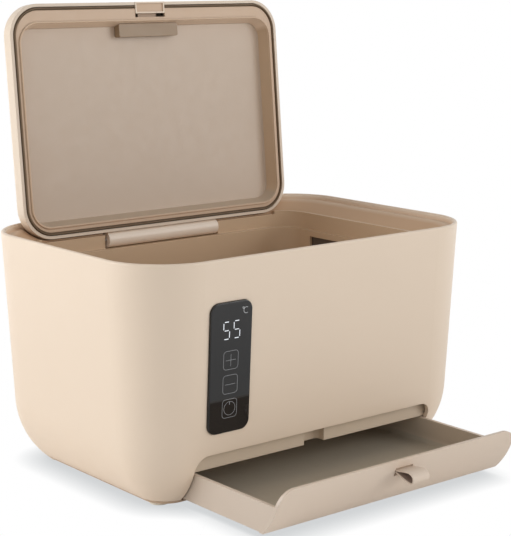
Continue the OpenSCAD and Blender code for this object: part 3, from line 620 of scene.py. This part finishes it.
MATERIALS = {
    # Housing: beige, with painted shade inside its rim, which is also rougher
    "shell": lambda: moulded("shell_plastic", BEIGE, 0.42, MOUTH_PAINTED_SHADE, 0.8, where=mouth),
    "lid": lambda: moulded("lid_plastic", LID, 0.42),
    # Tab: painted shade on its faces behind the front
    "tab": lambda: moulded("tab_plastic", BEIGE, 0.42, TAN, where=tab_inside),
    # Tub: darker as painted shade, with a stronger painted highlight on its edges
    "tub": lambda: moulded("tub_plastic", TUB_PAINTED_SHADE, 0.42, highlight_gain=1.35),
    "liner": liner_plastic,
    "cover": lambda: moulded("cover_plastic", BLOCK, 0.40),
    # Barrel: made lighter as painted light
    "barrel": lambda: moulded("barrel_plastic", GREY_BEIGE_PAINTED_LIGHT, 0.38),
    "tray": tray_plastic,
    "pull": lambda: moulded("pull_plastic", TRAY, 0.45),
    "strap": lambda: rubber("strap_skin", TRAY, 0.6, 0.03),
    # Inner face of the strap's loop: darker as painted shade
    "strap_inside_painted_shade": lambda: rubber("strap_inside_painted_shade", srgb(172, 150, 136), 0.7, 0.05),
    "base": lambda: moulded("base_plastic", TAN, 0.5),
    "bay": lambda: moulded("bay_plastic", srgb(206, 188, 166), 0.5),
    "vent": lambda: moulded("vent_plastic", srgb(92, 80, 70), 0.5),
    "dark": lambda: moulded("dark_plastic", srgb(30, 30, 32), 0.4),
    "display": lambda: moulded("display_resin", srgb(44, 44, 47), 0.25),
    "ceramic": lambda: moulded("ceramic_body", srgb(228, 226, 218), 0.55),
    "relay": lambda: moulded("relay_body", srgb(34, 60, 108), 0.3),
    "seal": lambda: rubber("seal_rubber", srgb(128, 108, 86)),
    # Feet: pale rubber, made lighter as painted light
    "foot": lambda: rubber("foot_rubber", srgb(232, 222, 205), 0.7, 0.08),
    "steel": lambda: metal("zinc_steel", srgb(188, 190, 194), 0.32),
    "copper": lambda: metal("plated_copper", srgb(214, 178, 104), 0.3),
    "aluminium": lambda: metal("rolled_aluminium", srgb(206, 208, 210), 0.36, (14, 1, 1)),
    "panel": gloss_black,
    "board": circuit_board,
    "film": heater_film,
    "felt": felt,
    "lit": lambda: glowing("lit_segment", (0.90, 0.94, 1.0, 1), 0.75),
    "unit": lambda: glowing("unit_print", (0.86, 0.88, 0.9, 1), 0.32),
    # Key print: a faint painted glow
    "print": lambda: glowing("panel_print_painted_glow", (0.80, 0.82, 0.85, 1), 0.13),
}
made = {}


def material(key):
    """The material of that key, made once."""
    if key not in made:
        made[key] = MATERIALS[key]()
    return made[key]


NODE_MATERIALS = {
    "shell": ["outer_housing"],
    "lid": ["lid_shell"],
    "tab": ["latch_tab"],
    "tray": ["drawer_tray"],
    "pull": ["drawer_pull"],
    "bay": ["drawer_bay"],
    "tub": ["compartment_tub", "hinge_mount_left", "hinge_mount_right"],
    "liner": ["lid_liner"],
    "cover": ["latch_cover"],
    "barrel": ["hinge_barrel"],
    "base": ["base_plate"],
    "seal": ["lid_seal"],
    "foot": ["foot_front_left", "foot_front_right", "foot_rear_left", "foot_rear_right"],
    "steel": [
        "base_screws",
        "deck_screws",
        "tub_screws",
        "heater_screws",
        "latch_spring",
        "hinge_spring",
        "hinge_pin",
    ],
    "panel": ["control_panel"],
    "board": ["display_board", "main_board"],
    "display": ["digit_display"],
    "copper": ["plus_touch_pad", "minus_touch_pad", "power_touch_pad"],
    "vent": ["side_vent_left", "side_vent_right"],
    "aluminium": ["heat_plate"],
    "film": ["heating_film"],
    "felt": ["insulation_pad"],
    "dark": ["temperature_sensor", "power_inlet", "filter_capacitor"],
    "ceramic": ["thermal_fuse"],
    "relay": ["power_relay"],
}


def dress_nodes():
    """Gives every CAD node its material."""
    for key, names in NODE_MATERIALS.items():
        for name in names:
            slots = nodes[name].data.materials
            for i in range(len(slots)):
                slots[i] = material(key)
            if not len(slots):
                slots.append(material(key))


# ---------------------------------------------------------------- outlines and meshes

# Corners of a rectangle: their signs in x and y, and the angle at which each rounding starts
CORNERS = ((1, 1, 0), (-1, 1, 90), (-1, -1, 180), (1, -1, 270))


def arc(cx, cy, r, start, end, count):
    """Points of an arc in count steps, with its angles in degrees."""
    step = (end - start) / count
    angles = [math.radians(start + step * i) for i in range(count + 1)]
    return [(cx + r * math.cos(angle), cy + r * math.sin(angle)) for angle in angles]


def rounded_outline(w, h, r, cx, cy):
    """Outline of a rounded rectangle."""
    points = []
    for sx, sy, start in CORNERS:
        x, y = cx + sx * (w / 2 - r), cy + sy * (h / 2 - r)
        points += arc(x, y, r, start, start + 90, count=6)
    return points


def ring(w, h, r, line, cx, cy):
    """Outline pair of a rounded frame with the given line width."""
    inner = rounded_outline(w - 2 * line, h - 2 * line, r - line, cx, cy)
    return rounded_outline(w, h, r, cx, cy), inner


def bar(x0, y0, x1, y1, line):
    """Plain straight line of the print."""
    along = Vector((x1 - x0, y1 - y0)).normalized()
    across = Vector((-along.y, along.x)) * line / 2
    a, b = Vector((x0, y0)), Vector((x1, y1))
    return [a - across, b - across, b + across, a + across]


def open_curve(points, line):
    """Quads along a curve."""
    return [bar(*points[i], *points[i + 1], line) for i in range(len(points) - 1)]


def segment(x0, y0, x1, y1, width):
    """Bar with pointed ends, as in a seven-segment digit."""
    along = Vector((x1 - x0, y1 - y0)).normalized()
    across = Vector((-along.y, along.x)) * width / 2
    tip = along * width / 2
    a, b = Vector((x0, y0)), Vector((x1, y1))
    return [a, a + tip - across, b - tip - across, b, b - tip + across, a + tip + across]


def level_loop(mesh, points, z):
    """Vertices at the points, all at height z."""
    return [mesh.verts.new((x, y, z)) for x, y in points]


def join_loops(mesh, first, second):
    """Quads between two closed loops with as many vertices each."""
    next_first, next_second = first[1:] + first[:1], second[1:] + second[:1]
    return [mesh.faces.new(quad) for quad in zip(first, next_first, next_second, second)]


def finished(name, mesh, place, keys):
    """Object from a mesh in millimetres, with its place and the keys of its materials."""
    bmesh.ops.recalc_face_normals(mesh, faces=mesh.faces)
    data = bpy.data.meshes.new(name)
    mesh.to_mesh(data)
    mesh.free()
    data.transform(place @ Matrix.Scale(MM, 4))
    for key in keys:
        data.materials.append(material(key))
    return add_object(name, data)


# ---------------------------------------------------------------- marks on the panel

# All of these are in millimetres, from the middle of the panel's face
MARK_THICKNESS = 0.05

# Digits: height of their middle on the panel, half the distance between them, size, width of
# a segment, and the gap at its ends
DIGITS_Y, DIGITS_APART = 21.1, 3.5
DIGIT_W, DIGIT_H = 4.0, 9.5
SEGMENT_WIDTH, SEGMENT_GAP = 0.48, 0.5

# Unit sign: middle and radius of the letter, its ends in degrees, width of its line, and the
# little ring's place from the letter's middle and its width
UNIT_X, UNIT_Y, UNIT_R = 9.6, 30.9, 1.7
UNIT_START, UNIT_END = 55, 305
UNIT_LINE = 0.24
DEGREE_PLACE, DEGREE_W = (-2.0, 1.5), 1.2

# Keys: height of the first, step to the next, size, corner, line, and half a sign's length
KEY_TOP, KEY_STEP = 4.3, 13.6
KEY_W, KEY_H, KEY_CORNER = 10.1, 10.5, 2.0
KEY_LINE = 0.17
SIGN_ARM = 3.4

# Power sign: width of its circle, and ends and line of its stroke
DIAL_W = 7.8
STROKE_TOP, STROKE_FOOT, STROKE_LINE = 3.6, 2.0, 0.3


def marks(name, solids, rings, key):
    """Thin print or lit segments on the panel's face, in the panel's own millimetres.

    solids are filled outlines, and rings are pairs of outlines with as many points each.
    """
    mesh = bmesh.new()
    for outline in solids:
        low, high = level_loop(mesh, outline, 0), level_loop(mesh, outline, MARK_THICKNESS)
        mesh.faces.new(high)
        mesh.faces.new(low[::-1])
        join_loops(mesh, low, high)
    for outer, inner in rings:
        loops = [level_loop(mesh, outer, z) for z in (0, MARK_THICKNESS)]
        loops += [level_loop(mesh, inner, z) for z in (MARK_THICKNESS, 0)]
        for first, second in zip(loops, loops[1:] + loops[:1]):
            join_loops(mesh, first, second)
    low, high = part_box("control_panel")
    outward = Vector((0, -math.cos(LEAN), -math.sin(LEAN)))
    place = Matrix.Translation((low + high) / 2 + outward * PANEL_FACE)
    piece = finished(name, mesh, place @ Matrix.Rotation(math.pi / 2 + LEAN, 4, "X"), [key])
    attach(piece, "housing")


def digit_five(cx, cy):
    """Segments of a five, centred."""
    gap, width = SEGMENT_GAP, SEGMENT_WIDTH
    x0, x1 = cx - DIGIT_W / 2, cx + DIGIT_W / 2
    y0, y1 = cy - DIGIT_H / 2, cy + DIGIT_H / 2
    return [
        segment(x0 + gap, y1, x1 - gap, y1, width),
        segment(x0, y1 - gap, x0, cy + gap, width),
        segment(x0 + gap, cy, x1 - gap, cy, width),
        segment(x1, cy - gap, x1, y0 + gap, width),
        segment(x0 + gap, y0, x1 - gap, y0, width),
    ]


def unit_sign():
    """Letter of the unit with its degree ring."""
    curve = arc(UNIT_X, UNIT_Y, UNIT_R, UNIT_START, UNIT_END, count=14)
    letter = open_curve(curve, UNIT_LINE)
    dx, dy = DEGREE_PLACE
    degree = ring(DEGREE_W, DEGREE_W, DEGREE_W / 2, UNIT_LINE, UNIT_X + dx, UNIT_Y + dy)
    marks("unit_sign", letter, [degree], "unit")


def touch_key(name, y):
    """Framed key with its sign: plus, minus or power."""
    arm, line = SIGN_ARM, KEY_LINE
    rings = [ring(KEY_W, KEY_H, KEY_CORNER, line, 0, y)]
    solids = []
    if name != "power":
        solids.append(bar(-arm, y, arm, y, line))
    if name == "plus":
        solids.append(bar(0, y + arm, 0, y + line / 2, line))
        solids.append(bar(0, y - line / 2, 0, y - arm, line))
    if name == "power":
        rings.append(ring(DIAL_W, DIAL_W, DIAL_W / 2, line, 0, y))
        solids.append(bar(0, y + STROKE_TOP, 0, y + STROKE_FOOT, STROKE_LINE))
    marks("key_" + name, solids, rings, "print")


def dress_panel():
    """Lit digits, the unit sign, and three framed keys."""
    digits = digit_five(-DIGITS_APART, DIGITS_Y) + digit_five(DIGITS_APART, DIGITS_Y)
    marks("lit_digits", digits, [], "lit")
    unit_sign()
    for k, name in enumerate(("plus", "minus", "power")):
        touch_key(name, KEY_TOP - KEY_STEP * k)


# ---------------------------------------------------------------- strap of the drawer

# Start of the strap's way: behind the front and below the top of the CAD pull
STRAP_REACH, STRAP_DROP = 14 * MM, 3.6 * MM

# The rest is in millimetres: the band's width and thickness, the radius of its edges as a
# part of the thickness, the distance of extra points beside them, how far from its face a
# point still counts as on it, and the band's way as distances in front of the drawer with
# heights
STRAP_WIDTH, STRAP_THICKNESS = 12.4, 0.9
STRAP_ROUNDING, STRAP_BESIDE = 0.45, 0.5
STRAP_FLAT = 0.01
STRAP_WAY = [
    (-4.9, 1.0), (-2.4, 1.0), (0.0, 1.1), (2.5, 1.35), (5.0, 1.75), (7.6, 2.1),
    (10.0, 2.15), (11.9, 1.5), (13.15, 0.15), (13.4, -1.5), (12.9, -2.8), (11.8, -3.4),
    (9.4, -3.0), (5.6, -1.75), (2.6, -0.65), (0.0, 0.05), (-2.4, 0.05), (-4.9, 0.05),
]

# Bar behind the drawer's front that holds the strap's ends: size, place and edge
BAR_SIZE, BAR_PLACE, BAR_EDGE = (14.4, 1.3, 7.2), (0, 5.35, 0), 0.4


def smooth_way(points, steps):
    """Points of a smooth curve through the given points."""
    points = [Vector(p) for p in points]
    ends = [2 * points[0] - points[1]] + points + [2 * points[-1] - points[-2]]
    way = []
    for a, b, c, d in zip(ends, ends[1:], ends[2:], ends[3:]):
        square, cube = 2 * a - 5 * b + 4 * c - d, 3 * b - a - 3 * c + d
        for k in range(steps):
            t = k / steps
            way.append(0.5 * (2 * b + (c - a) * t + square * t**2 + cube * t**3))
    return way + [points[-1]]


def band_outline(width, thick):
    """Cross-section of a flat band with rounded edges and extra points beside them."""
    r = thick * STRAP_ROUNDING
    x, y = width / 2 - r, thick / 2 - r
    outline = []
    for sx, sy, start in CORNERS:
        corner = arc(sx * x, sy * y, r, start, start + 90, count=4)
        beside = (sx * (x - STRAP_BESIDE), sy * thick / 2)
        outline += corner + [beside] if sx == sy else [beside] + corner
    return outline


def add_band(mesh):
    """Closed band along the strap's way; the face inside its loop has the second material, darker
    as painted shade.
    """
    way = smooth_way(STRAP_WAY, steps=5)
    outline = band_outline(STRAP_WIDTH, STRAP_THICKNESS)
    loops = []
    for before, here, after in zip(way[:1] + way, way, way[1:] + way[-1:]):
        along = (after - before).normalized()
        out = Vector((-along.y, along.x))
        spots = [(x, here + out * y) for x, y in outline]
        loops.append([mesh.verts.new((x, -spot.x, spot.y)) for x, spot in spots])
    lowest = min(y for _, y in outline)
    inside = [y < lowest + STRAP_FLAT for _, y in outline]
    for first, second in zip(loops, loops[1:]):
        for i, face in enumerate(join_loops(mesh, first, second)):
            face.smooth = True
            face.material_index = int(inside[i] and inside[(i + 1) % len(inside)])
    mesh.faces.new(loops[0])
    mesh.faces.new(loops[-1][::-1])


def add_bar(mesh):
    """Bar with rounded edges behind the drawer's front."""
    corners = bmesh.ops.create_cube(mesh, size=1)["verts"]
    bmesh.ops.scale(mesh, vec=BAR_SIZE, verts=corners)
    bmesh.ops.translate(mesh, vec=BAR_PLACE, verts=corners)
    edges = list(dict.fromkeys(edge for vert in corners for edge in vert.link_edges))
    rounding = {"offset": BAR_EDGE, "segments": 3, "profile": 0.5}
    bmesh.ops.bevel(mesh, geom=edges, affect="EDGES", **rounding)


def dress_pull():
    """Soft strap of the drawer: it leaves its slot, curls over and comes back to its bar."""
    mesh = bmesh.new()
    add_band(mesh)
    add_bar(mesh)
    low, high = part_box("drawer_pull")
    middle = (low.x + high.x) / 2
    place = Matrix.Translation((middle, low.y + STRAP_REACH, high.z - STRAP_DROP))
    strap = finished("pull_strap", mesh, place, ["strap", "strap_inside_painted_shade"])
    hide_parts("drawer_pull")
    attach(strap, "drawer")


bpy.context.scene.view_settings.view_transform = "Standard"
make_camera()
make_world()
make_lights()
make_floor()
dress_nodes()
dress_panel()
dress_pull()
